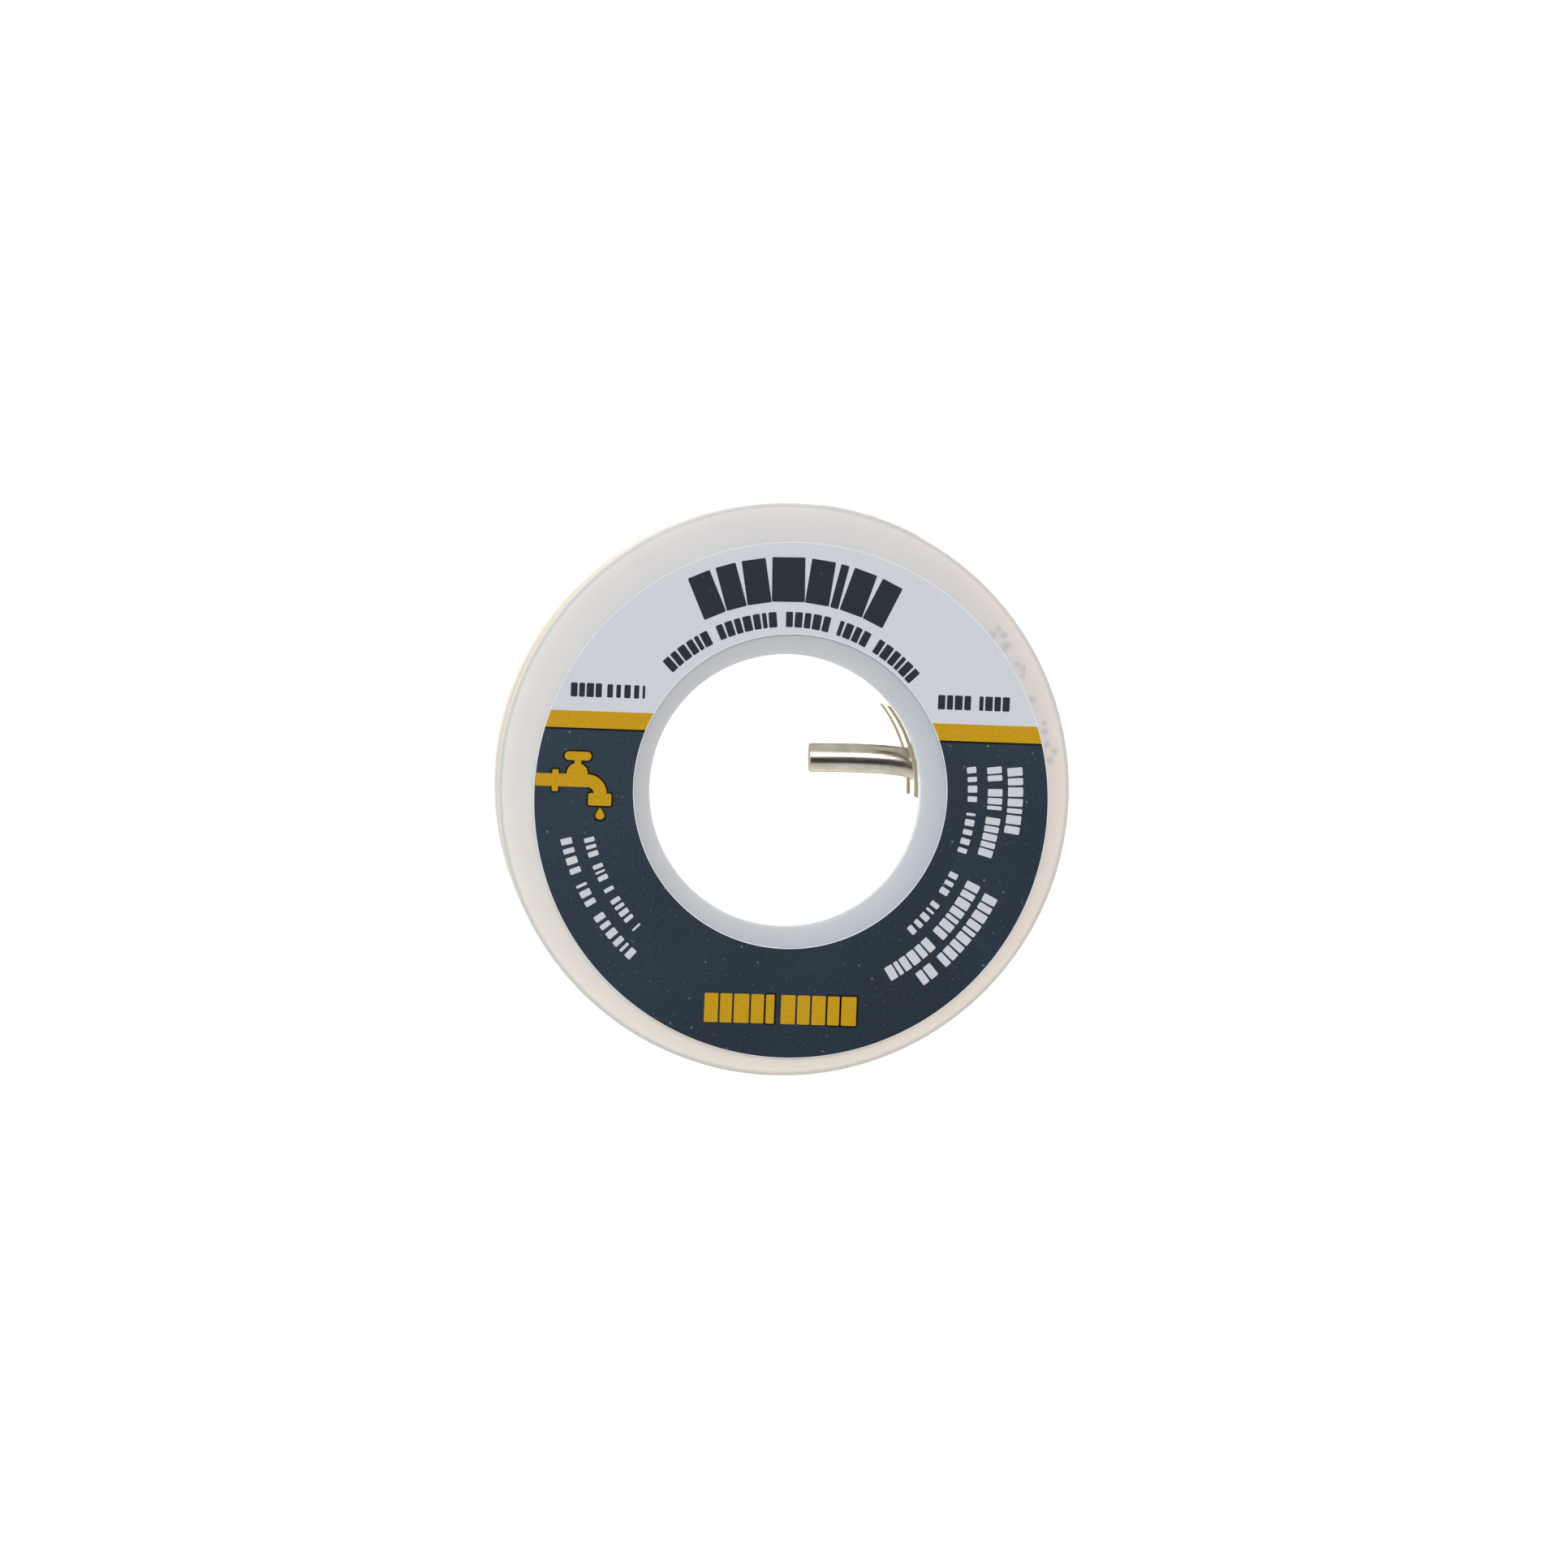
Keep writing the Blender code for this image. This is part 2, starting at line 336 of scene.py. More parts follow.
@dataclass(frozen=True)
class PrintedPaper(Finish):
    """Offset ink or bare coating on label paper: flat and dense, with the paper's grain showing through."""

    colour: str = "#FFFFFF"
    grain: float = 0.05
    grain_size_mm: float = 0.22
    specks: float = 0.0
    dust: tuple[tuple[float, float, float, float], ...] = (
        (0.8, 0.080, 1.0, 0.45), (1.7, 0.060, 1.0, 1.0), (2.4, 0.020, 9.0, 0.9),
    )
    fade: float = 0.0
    fade_size_mm: float = 12.0
    roughness: float = 0.5
    gloss: float = 0.2

    def dress(self, tree: bpy.types.NodeTree, shader: bpy.types.Node) -> None:
        """Sets the ink's colour, its grain, its uneven lightness, its dust specks, hair scratches and satin.

        Args:
            tree: The material's nodes.
            shader: Its Principled shader.
        """
        place = add_node(tree, "ShaderNodeTexCoord").outputs["Object"]
        fibre = noise(tree, place, PER_MM / self.grain_size_mm, 2.0, Roughness=0.7)
        gain = ranged(tree, fibre, (0.25, 0.75), (1.0 - self.grain, 1.0 + self.grain))
        colour = scaled(tree, linear(self.colour)[:3], gain)
        if self.fade:
            patches = noise(tree, place, PER_MM / self.fade_size_mm, 3.0)
            # Besides the random patches, a steady gradient makes the ink lighter towards -X and +Y.
            side = add_node(
                tree, "ShaderNodeVectorMath", {0: place, 1: (-6.0, 14.0, 0.0)}, operation="DOT_PRODUCT"
            )
            ink_lightness = reckoned(tree, "ADD", patches, side.outputs["Value"])
            thin = ranged(tree, ink_lightness, (0.1, 0.9), (1.0 - self.fade, 1.0 + self.fade))
            colour = scaled(tree, colour, thin)
        if self.specks:
            for kind in self.dust:
                colour = self.dusted(tree, place, colour, kind)
        tree.links.new(colour, shader.inputs["Base Color"])
        roughen(tree, shader, fibre, 0.10, 0.01)
        shader.inputs["Roughness"].default_value = self.roughness
        shader.inputs["Specular IOR Level"].default_value = self.gloss

    def dusted(
        self, tree: bpy.types.NodeTree, place: bpy.types.NodeSocket, colour: bpy.types.NodeSocket,
        kind: tuple[float, float, float, float],
    ) -> bpy.types.NodeSocket:
        """Adds one kind of pale dust speck or hair scratch.

        Args:
            tree: The material's nodes.
            place: The place on the label.
            colour: The colour so far.
            kind: Spacing in millimetres, size as a share of it, length as a multiple of width, and strength.

        Returns:
            The colour with the specks in it.
        """
        spacing, size, stretch, share = kind
        lie = add_node(
            tree, "ShaderNodeMapping",
            {"Vector": place, "Rotation": (0.0, 0.0, 0.5 * stretch),
             "Scale": (PER_MM / spacing, PER_MM / (spacing * stretch), PER_MM / spacing)},
        )
        dust = add_node(tree, "ShaderNodeTexVoronoi", {"Vector": lie.outputs[0], "Scale": 1.0})
        dot = ranged(tree, dust.outputs["Distance"], (size * 1.6, size * 0.5), (0.0, self.specks * share))
        return blended(tree, dot, colour, linear("#A9B2BC"))


@dataclass(frozen=True)
class DrawnSolder(Finish):
    """Drawn tin alloy wire: bright metal with a warm grey film, and fine lines along it from the die."""

    colour: str = "#CEC8B8"
    film: str = "#B8B2A0"
    edge: str = "#A69F8B"
    line_width_mm: float = 0.22
    line_length_mm: float = 9.0
    wire_length_mm: float = 794.0
    girth_mm: float = 9.42
    cloud_size_mm: float = 1.6

    def dress(self, tree: bpy.types.NodeTree, shader: bpy.types.Node) -> None:
        """Sets the metal, its film and its drawing lines, which follow the wire.

        Args:
            tree: The material's nodes.
            shader: Its Principled shader.
        """
        along = add_node(tree, "ShaderNodeTexCoord").outputs["UV"]
        lines = add_node(
            tree, "ShaderNodeMapping",
            {"Vector": along,
             "Scale": (self.wire_length_mm / self.line_length_mm, self.girth_mm / self.line_width_mm, 1.0)},
        )
        drawn = noise(tree, lines.outputs[0], 1.0, 3.0, Roughness=0.65)
        place = add_node(tree, "ShaderNodeTexCoord").outputs["Object"]
        clouds = noise(tree, place, PER_MM / self.cloud_size_mm, 4.0)
        filmed = blended(tree, ranged(tree, clouds, (0.4, 0.7)), linear(self.colour), linear(self.film))
        tree.links.new(filmed, shader.inputs["Base Color"])
        tree.links.new(ranged(tree, drawn, goes_to=(0.16, 0.34)), shader.inputs["Roughness"])
        roughen(tree, shader, drawn, 0.35, 0.03)
        shader.inputs["Metallic"].default_value = 1.0
        shader.inputs["Specular Tint"].default_value = linear(self.edge)


@dataclass(frozen=True)
class ClearFilm(Finish):
    """Clear polypropylene tape: colourless, glossy and a little milky where it lifts."""

    def dress(self, tree: bpy.types.NodeTree, shader: bpy.types.Node) -> None:
        """Sets the film's clearness, with faint stretch lines.

        Args:
            tree: The material's nodes.
            shader: Its Principled shader.
        """
        place = add_node(tree, "ShaderNodeTexCoord").outputs["Object"]
        stretched = add_node(
            tree, "ShaderNodeMapping", {"Vector": place, "Scale": (PER_MM / 0.8, PER_MM / 0.8, PER_MM / 6.0)}
        )
        lines = noise(tree, stretched.outputs[0], 1.0, 2.0)
        tree.links.new(ranged(tree, lines, goes_to=(0.10, 0.22)), shader.inputs["Roughness"])
        shader.inputs["Base Color"].default_value = linear("#F4F4EF")
        shader.inputs["IOR"].default_value = 1.49
        shader.inputs["Alpha"].default_value = 0.42


@dataclass(frozen=True)
class LightTable(Finish):
    """The pale sheet the spool lies on: white and lit from below."""

    glow: float = 0.7

    def dress(self, tree: bpy.types.NodeTree, shader: bpy.types.Node) -> None:
        """Sets the white sheet and its glow.

        Args:
            tree: The material's nodes; not used.
            shader: Its Principled shader.
        """
        shader.inputs["Base Color"].default_value = linear("#F6F6F6")
        shader.inputs["Roughness"].default_value = 0.9
        shader.inputs["Emission Color"].default_value = linear("#FFFFFF")
        shader.inputs["Emission Strength"].default_value = self.glow


PLASTIC = NaturalPolypropylene("natural_polypropylene")
# The hub's copy: the tan band over the slot faces is painted shade, tinted by the wire it faces, and the bore's
# edge is a painted highlight.
CORE_PLASTIC = NaturalPolypropylene(
    "core_polypropylene",
    colour_and_painted_light=((14.2, "#FDFCFA"), (14.22, "#D6C9B5"), (15.3, "#D6C9B5"), (15.5, "#FBF3E6")), paints_side_light=False,
    see_through=0.7, reach_mm=1.5, smudges=(),
)
# The bore wall's copy, painted near white and warm as a painted glow of light coming through the milky wall;
# its low roughness is its own polish.
POLISHED_PLASTIC = NaturalPolypropylene(
    "core_polished_polypropylene", colour_and_painted_light=((14.2, "#FDFCFA"), (14.4, "#FBF3E6")), satin=(0.08, 0.16), paints_side_light=False,
    see_through=0.8, reach_mm=2.0, smudges=(),
)
# The rear flange's copy: a grey painted shade where the winding lies against it, and a warm painted glow
# towards the rim for light coming through from the sheet below.
REAR_PLASTIC = NaturalPolypropylene(
    "rear_polypropylene",
    colour_and_painted_light=((14.2, "#FBFBFA"), (14.4, "#DCDEDF"), (21.5, "#D3D6D8"), (25.0, "#E2DCD4"), (30.0, "#E6DFD4")),
    paints_side_light=False, see_through=0.6, reach_mm=2.0, smudges=(),
)
PAPER_WHITE = PrintedPaper("coated_paper_white", colour="#D9DCE2", grain=0.05)
PAPER_EDGE = PrintedPaper("cut_paper_edge", colour="#F4F5F6", grain=0.02)
NAVY_INK = PrintedPaper("navy_ink", colour="#2B3946", grain=0.26, specks=0.4, fade=0.22)
HEADING_INK = PrintedPaper("heading_ink", colour="#222C37", grain=0.12, specks=0.12)
GOLD_INK = PrintedPaper("gold_ink", colour="#CC9D17", grain=0.14, gloss=0.12)
DARK_KEYLINE = PrintedPaper("dark_keyline", colour="#100D07", grain=0.10)
WHITE_INK = PrintedPaper("white_ink", colour="#D5D9DF", grain=0.05)
SOLDER = DrawnSolder("drawn_tin_solder")
FILM = ClearFilm("clear_film")


# ---------------------------------------------------------------- shaping


def ring_of(
    profile: Sequence[tuple[float, float]], steps: int, start: float = 0.0, angle: float = math.tau
) -> bmesh.types.BMesh:
    """Turns a closed outline about the spool's axis.

    Args:
        profile: (radius, height) corners in order.
        steps: How many steps the turn takes.
        start: The angle it starts from.
        angle: How far it turns; a part turn gets end faces.

    Returns:
        The turned shape, facing out.
    """
    shape = bmesh.new()
    corners = [shape.verts.new((r * math.cos(start), r * math.sin(start), z)) for r, z in profile]
    outline: list[Any] = [shape.edges.new(pair) for pair in zip(corners, corners[1:] + corners[:1])]
    whole = abs(angle - math.tau) < 1e-6
    if not whole:
        outline.append(shape.faces.new(corners))
    bmesh.ops.spin(
        shape, geom=corners + outline, cent=(0, 0, 0), axis=(0, 0, 1), angle=angle, steps=steps,
        use_merge=whole, use_duplicate=False,
    )
    if whole:
        bmesh.ops.remove_doubles(shape, verts=shape.verts[:], dist=1e-8)
    bmesh.ops.recalc_face_normals(shape, faces=shape.faces[:])
    return shape


def round_rims(
    shape: bmesh.types.BMesh, radius: float, height: float, offset: float, segments: int = 4
) -> None:
    """Rounds the circular edge that lies at one radius and height.

    Args:
        shape: The turned shape.
        radius: The edge's radius.
        height: Its height.
        offset: How far the rounding reaches.
        segments: How many faces it has.
    """
    near = 0.01 * MM
    rims = [
        edge for edge in shape.edges
        if all(
            abs(vert.co.xy.length - radius) < near and abs(vert.co.z - height) < near for vert in edge.verts
        )
    ]
    bmesh.ops.bevel(
        shape, geom=rims, offset=offset, offset_type="OFFSET", affect="EDGES", segments=segments,
        profile=0.5, material=-1,
    )


@dataclass
class Assembly:
    """Everything made so far, with what each piece stands for."""

    made: list[str] = field(default_factory=list)

    def take(self, piece: bpy.types.Object, replaces: Sequence[str] = ()) -> bpy.types.Object:
        """Makes a finished piece part of the spool.

        Args:
            piece: The finished object.
            replaces: The plain solids it stands for.

        Returns:
            The same object.
        """
        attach(piece, BODY)
        if replaces:
            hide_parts(*replaces)
        self.made.append(piece.name)
        LOG.info("%s stands for %s", piece.name, ", ".join(replaces) or "itself")
        return piece

    def shape(
        self, name: str, shape: bmesh.types.BMesh, finishes: Sequence[Finish], slot: Slot,
        replaces: Sequence[str] = (), smooth: float = 30.0,
    ) -> bpy.types.Object:
        """Writes a shape to a mesh object, dresses it and takes it in.

        Args:
            name: The piece's name.
            shape: Its shape, which is freed.
            finishes: Its finishes, in the order of the faces' material numbers.
            slot: The record's slot; not used.
            replaces: The plain solids it stands for.
            smooth: Edges sharper than this many degrees stay sharp.

        Returns:
            The new object.
        """
        return self.take(mesh_object(name, shape, finishes, smooth), replaces)


def mesh_object(
    name: str, shape: bmesh.types.BMesh, finishes: Sequence[Finish], smooth: float = 30.0
) -> bpy.types.Object:
    """Writes a shape to a new mesh object.

    Args:
        name: The object's name.
        shape: Its shape, which is freed.
        finishes: Its finishes, in the order of the faces' material numbers.
        smooth: Edges sharper than this many degrees stay sharp.

    Returns:
        The new object.
    """
    mesh = bpy.data.meshes.new(name)
    shape.to_mesh(mesh)
    shape.free()
    mesh.shade_smooth()
    mesh.set_sharp_from_angle(angle=math.radians(smooth))
    for finish in finishes:
        mesh.materials.append(finish.material())
    made = bpy.data.objects.new(name, mesh)
    bpy.context.scene.collection.objects.link(made)
    return made


def work(piece: bpy.types.Object, tools: Iterable[bpy.types.Object], operation: str = "DIFFERENCE") -> None:
    """Cuts shapes out of a piece, or welds them to it, for good, and removes them.

    Args:
        piece: The piece that is worked on.
        tools: The objects whose shapes are cut out or welded on.
        operation: DIFFERENCE or UNION.
    """
    used = list(tools)
    for tool in used:
        step = piece.modifiers.new(tool.name, "BOOLEAN")
        step.operation = operation
        step.solver = "EXACT"
        step.object = tool
    graph = bpy.context.evaluated_depsgraph_get()
    worked = bpy.data.meshes.new_from_object(piece.evaluated_get(graph))
    piece.modifiers.clear()
    piece.data = worked
    worked.set_sharp_from_angle(angle=math.radians(30.0))
    for tool in used:
        bpy.data.objects.remove(tool, do_unlink=True)


def round_rod(name: str, route: Sequence[Vector], diameter: float, ends: float = 1.0) -> bpy.types.Object:
    """Makes a curve with a round section along a route.

    Args:
        name: The object's name.
        route: The points that it follows.
        diameter: Its thickness.
        ends: How thick its last points are, as a share of the rest.

    Returns:
        The curve object.
    """
    curve = bpy.data.curves.new(name, "CURVE")
    curve.dimensions = "3D"
    curve.bevel_depth = diameter / 2
    curve.bevel_resolution = 6
    curve.use_fill_caps = True
    spline = curve.splines.new("POLY")
    spline.points.add(len(route) - 1)
    for point, place in zip(spline.points, route):
        point.co = (*place, 1.0)
    for at in (0, -1):
        spline.points[at].radius = ends
    rod = bpy.data.objects.new(name, curve)
    bpy.context.scene.collection.objects.link(rod)
    return rod


# ---------------------------------------------------------------- sub-assemblies


@dataclass
class SpoolMouldings:
    """The two flanges and the hub whose ends sit in them."""

    bore: float = 14.2 * MM
    hub_wall: float = 1.2 * MM
    lip: float = 0.8 * MM
    seat_gap: float = 0.03 * MM
    rim_round: float = 0.32 * MM
    bore_round: float = 0.14 * MM
    steps: int = 256
    slot_angles: tuple[float, float] = (math.radians(-4.0), math.radians(37.5))
    front_slot: tuple[float, float] = (1.9 * MM, 3.6 * MM)
    rear_slot: tuple[float, float] = (9.3 * MM, 3.0 * MM)
    start_hole_clearance: float = 0.04 * MM
    pin_mark: float = 1.5 * MM
    pin_mark_depth: float = 0.06 * MM
    pin_circle: float = 23.0 * MM

    def build(self, assembly: Assembly) -> None:
        """Makes the three mouldings.

        Args:
            assembly: What they join.
        """
        self.flange(assembly, "front_flange", "front_flange_moulding", outer_face_up=True)
        rear = self.flange(assembly, "rear_flange", "rear_flange_moulding", outer_face_up=False)
        work(rear, self.pin_marks())
        self.hub(assembly)

    def flange(self, assembly: Assembly, node: str, name: str, outer_face_up: bool) -> bpy.types.Object:
        """Makes a flange plate with a seat for the hub's end.

        Args:
            assembly: What it joins.
            node: The plain solid it stands for.
            name: The piece's name.
            outer_face_up: Whether its outer face is its top.

        Returns:
            The flange.
        """
        low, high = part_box(node)
        face, inside = (high.z, low.z) if outer_face_up else (low.z, high.z)
        inward = 1.0 if inside > face else -1.0
        rim = high.x
        seat = self.bore + self.hub_wall + self.seat_gap
        ledge = face + inward * self.lip
        shape = ring_of(
            [(self.bore, face), (self.bore, ledge), (seat, ledge), (seat, inside), (rim, inside), (rim, face)],
            self.steps,
        )
        finish = PLASTIC if outer_face_up else REAR_PLASTIC
        for height in (face, inside):
            round_rims(shape, rim, height, self.rim_round)
        round_rims(shape, self.bore, face, self.bore_round, segments=3)
        return assembly.shape(name, shape, [finish], Slot.PLASTIC, [node])

    def pin_marks(self) -> list[bpy.types.Object]:
        """Cutters for the shallow round marks that the mould's ejector pins leave on the rear face."""
        tools = []
        for turn in (45, 135, 225, 315):
            shape = bmesh.new()
            bmesh.ops.create_cone(
                shape, cap_ends=True, segments=48, radius1=self.pin_mark, radius2=self.pin_mark,
                depth=2.0 * self.pin_mark_depth,
            )
            place = Matrix.Rotation(math.radians(turn), 4, "Z") @ Matrix.Translation((self.pin_circle, 0, 0))
            bmesh.ops.transform(shape, matrix=place, verts=shape.verts[:])
            tools.append(mesh_object(f"pin_mark_{turn}", shape, []))
        return tools

    def hub(self, assembly: Assembly) -> None:
        """Makes the hub tube and cuts its two slots.

        Args:
            assembly: What it joins.
        """
        rear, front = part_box("rear_flange")[0].z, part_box("front_flange")[1].z
        outer = self.bore + self.hub_wall
        low, high = rear + self.lip + self.seat_gap, front - self.lip - self.seat_gap
        shape = ring_of([(self.bore, low), (self.bore, high), (outer, high), (outer, low)], self.steps)
        for face in shape.faces:
            face.material_index = int(face.calc_center_median().xy.length < self.bore + self.seat_gap)
        hub = assembly.shape("hub_tube", shape, [CORE_PLASTIC, POLISHED_PLASTIC], Slot.PLASTIC, ["hub_core"])
        start, end = self.slot_angles
        tools = []
        for name, (depth, width) in (("front_slot", self.front_slot), ("rear_slot", self.rear_slot)):
            top = front - depth
            inside, outside = self.bore - self.hub_wall, outer + self.hub_wall
            block = [(inside, top - width), (inside, top), (outside, top), (outside, top - width)]
            tools.append(mesh_object(name, ring_of(block, 40, start, end - start), []))
        tools.append(self.start_hole((rear + front) / 2))
        work(hub, tools)

    def start_hole(self, height: float) -> bpy.types.Object:
        """The cutter for the slanting hole that the wire starts through.

        Args:
            height: The hole's height.

        Returns:
            A rod that follows the wire's own bend.
        """
        start = WireStart()
        route = [Vector((*place, height)) for place in start.bend(0.0, 0.98)]
        rod = round_rod("start_hole_rod", route, start.diameter + 2.0 * self.start_hole_clearance)
        solid = bpy.data.meshes.new_from_object(rod)
        bpy.data.objects.remove(rod, do_unlink=True)
        shape = bmesh.new()
        shape.from_mesh(solid)
        bmesh.ops.remove_doubles(shape, verts=shape.verts[:], dist=1e-8)
        bmesh.ops.recalc_face_normals(shape, faces=shape.faces[:])
        return mesh_object("start_hole", shape, [])


@dataclass(frozen=True)
class WireStart:
    """The wire's free end across the bore and its bend on to the first turn, seen from above."""

    diameter: float = 3.0 * MM
    tail: tuple[tuple[float, float], ...] = (
        (3.22 * MM, 3.09 * MM), (5.6 * MM, 3.06 * MM), (8.4 * MM, 2.99 * MM), (11.2 * MM, 2.83 * MM),
    )
    bend_radius: float = 4.0 * MM
    bend_place: float = math.radians(-6.25)
    bend_slope: float = math.radians(8.0)
    first_radius: float = 16.95 * MM

    def bend(self, first: float = 0.0, last: float = 1.0, steps: int = 14) -> list[Vector]:
        """Points on the bend, between two shares of it."""
        middle = Vector((math.cos(self.bend_place), math.sin(self.bend_place)))
        middle *= self.first_radius - self.bend_radius
        span = math.pi / 2 - self.bend_place - self.bend_slope
        slopes = [self.bend_slope + span * share for share in spaced(first, last, steps)]
        return [middle + self.bend_radius * Vector((math.sin(slope), math.cos(slope))) for slope in slopes]

    def free_end(self) -> list[Vector]:
        """Points along the free end, from its cut tip to where the bend begins."""
        ends = [Vector(place) for place in self.tail]
        guide = [2.0 * ends[0] - ends[1]] + ends + self.bend(0.0, 0.08, 1)
        line = [ends[0]]
        for at in range(1, len(guide) - 2):
            line += [through(guide[at - 1 : at + 3], share) for share in spaced(0.0, 1.0, 5)[1:]]
        return line


@dataclass
class WoundSolder:
    """One length of solder: its cut end across the bore, then six and a half turns laid on the hub.

    The wire comes through the middle of the hub, so it is first wound towards the rear flange, comes back
    over those two turns, drops to the bare hub in front of them, and ends in the second layer.
    """

    start: WireStart = field(default_factory=WireStart)
    length: float = 0.794
    fullness: float = 1.025
    pitch: float = 3.02 * MM
    stations: tuple[float, ...] = (0.5, 1.5, 1.0, -0.5, -1.5, -1.0, 0.0)
    turns: float = 6.58
    crossings: tuple[float, ...] = (0.8, 0.6, 0.6, 0.6, 0.6, 0.6)
    jog: float = 0.20
    settle: float = 0.12
    steps_a_turn: int = 72
    ease: int = 3
    cut_share: float = 0.985

    def build(self, assembly: Assembly) -> None:
        """Makes the wire along its whole route.

        Args:
            assembly: What it joins.
        """
        middle = (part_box("rear_flange")[0].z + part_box("front_flange")[1].z) / 2
        flat = self.start.free_end() + self.start.bend()[1:]
        route = [Vector((*place, middle)) for place in flat] + self.wound(middle)
        wire = round_rod("solder_wire", route, self.start.diameter * self.fullness, self.cut_share)
        wire.data.materials.append(SOLDER.material())
        assembly.take(wire, ["solder_tail", "solder_first_layer", "solder_second_layer"])

    def wound(self, middle: float) -> list[Vector]:
        """The turns, each resting on whatever lies below it.

        Args:
            middle: The height of the middle of the hub.

        Returns:
            Points from just after the bend to the outer end.
        """
        count = round(self.turns * self.steps_a_turn)
        radii: list[float] = []
        for step in range(count + 1):
            radii.append(self.resting_radius(step, radii))
        route = []
        for step in range(1, count + 1):
            angle = self.start.bend_place - step * math.tau / self.steps_a_turn
            radius = self.eased(step, radii)
            height = middle - self.pitch * self.offset_at(step / self.steps_a_turn)
            route.append(Vector((radius * math.cos(angle), radius * math.sin(angle), height)))
        return route

    def offset_at(self, turn: float) -> float:
        """How many pitches behind the middle of the hub the wire is after so many turns."""
        whole = min(int(turn), len(self.stations) - 1)
        here = self.stations[whole]
        if whole == 0:
            here *= smoothed(turn / self.settle)
        if whole + 1 == len(self.stations):
            return here
        share = smoothed((turn - whole - self.crossings[whole]) / self.jog)
        return here + (self.stations[whole + 1] - here) * share

    def resting_radius(self, step: int, radii: Sequence[float]) -> float:
        """The radius at which the wire rests on the hub or on the turns below it.

        Args:
            step: How many steps along the winding it is.
            radii: The radii of the steps before it.

        Returns:
            The radius.
        """
        offset = self.offset_at(step / self.steps_a_turn)
        radius = self.start.first_radius
        for below in range(step - self.steps_a_turn, -4, -self.steps_a_turn):
            if below >= 0:
                under = self.eased(below, radii)
                apart = self.pitch * (offset - self.offset_at(below / self.steps_a_turn))
            else:
                under = self.start.first_radius + below * 0.4 * MM
                apart = self.pitch * offset
            clear = self.start.diameter**2 - apart**2
            if clear > 0.0:
                radius = max(radius, under + math.sqrt(clear))
        return radius

    def eased(self, step: int, radii: Sequence[float]) -> float:
        """A radius that rises and falls no faster than stiff wire can, and is never below the resting one."""
        near = range(step - self.ease, step + self.ease + 1)
        highest = [
            max(radii[max(0, at - self.ease) : at + self.ease + 1] or [self.start.first_radius]) for at in near
        ]
        return sum(highest) / len(highest)


def spaced(first: float, last: float, steps: int) -> list[float]:
    """Evenly spaced numbers from the first to the last, both included."""
    return [first + (last - first) * step / steps for step in range(steps + 1)]


def smoothed(share: float) -> float:
    """A share from 0 to 1 that starts and ends gently."""
    share = min(1.0, max(0.0, share))
    return share * share * (3.0 - 2.0 * share)


def through(four: Sequence[Vector], share: float) -> Vector:
    """A point between the middle two of four, on the smooth curve through them.

    Args:
        four: Four points in order.
        share: How far along from the second to the third.

    Returns:
        The point.
    """
    before, start, end, after = four
    return 0.5 * (
        2.0 * start + (end - before) * share + (2.0 * before - 5.0 * start + 4.0 * end - after) * share**2
        + (3.0 * start - before - 3.0 * end + after) * share**3
    )


class Weight(Enum):
    """How heavy a line of stand-in text is: the share of its height and of its pitch that ink fills."""

    HEAVY = (1.0, 0.87)
    BOLD = (1.0, 0.80)
    LIGHT = (0.95, 0.62)


EVEN_RHYTHM = (1.0, 0.88, 1.08, 0.94, 0.66, 1.04, 0.92)
HEADING_RHYTHM = (1.0, 0.90, 1.03, 1.36, 1.03, 0.44, 1.02, 0.96)


@dataclass(frozen=True)
class TextLine:
    """A line of stand-in text, in which a small plain block takes the place of each character.

    Angles are anticlockwise from +X as the label is read. The blocks stand on an arc round the axis, or on a
    straight line if the line has a start and an end point. The rhythm is how wide they are, over and over.
    """

    words: tuple[int, ...]
    height: float
    weight: Weight
    radius: float = 0.0
    angles: tuple[float, float] = (0.0, 0.0)
    ends: tuple[tuple[float, float], tuple[float, float]] | None = None
    rhythm: tuple[float, ...] = EVEN_RHYTHM
    gap: float = 0.75

    def blocks(self) -> list[tuple[Vector, float, float]]:
        """Centre, direction and width of each block, in metres and radians."""
        count = sum(self.words)
        widths = [self.rhythm[at % len(self.rhythm)] for at in range(count)]
        total = sum(widths) + self.gap * (len(self.words) - 1)
        found = []
        at = 0.0
        upcoming = iter(widths)
        for word in self.words:
            for _ in range(word):
                width = next(upcoming)
                centre, turn, pitch = self.block_at((at + width / 2) / total, total)
                found.append((centre, turn, pitch * (width - 1.0 + self.weight.value[1])))
                at += width
            at += self.gap
        return found

    def block_at(self, share: float, total: float) -> tuple[Vector, float, float]:
        """One block's centre and direction, and the pitch there.

        Args:
            share: How far along the line it is.
            total: How many block pitches the line has.

        Returns:
            Its centre, its direction and the pitch.
        """
        if self.ends:
            start, end = (Vector(place) * MM for place in self.ends)
            run = end - start
            return start.lerp(end, share), math.atan2(run.y, run.x), run.length / total
        first, last = (math.radians(angle) for angle in self.angles)
        angle = first + (last - first) * share
        centre = self.radius * MM * Vector((math.cos(angle), math.sin(angle)))
        turn = angle - math.pi / 2 if last < first else angle + math.pi / 2
        return centre, turn, abs(last - first) * self.radius * MM / total


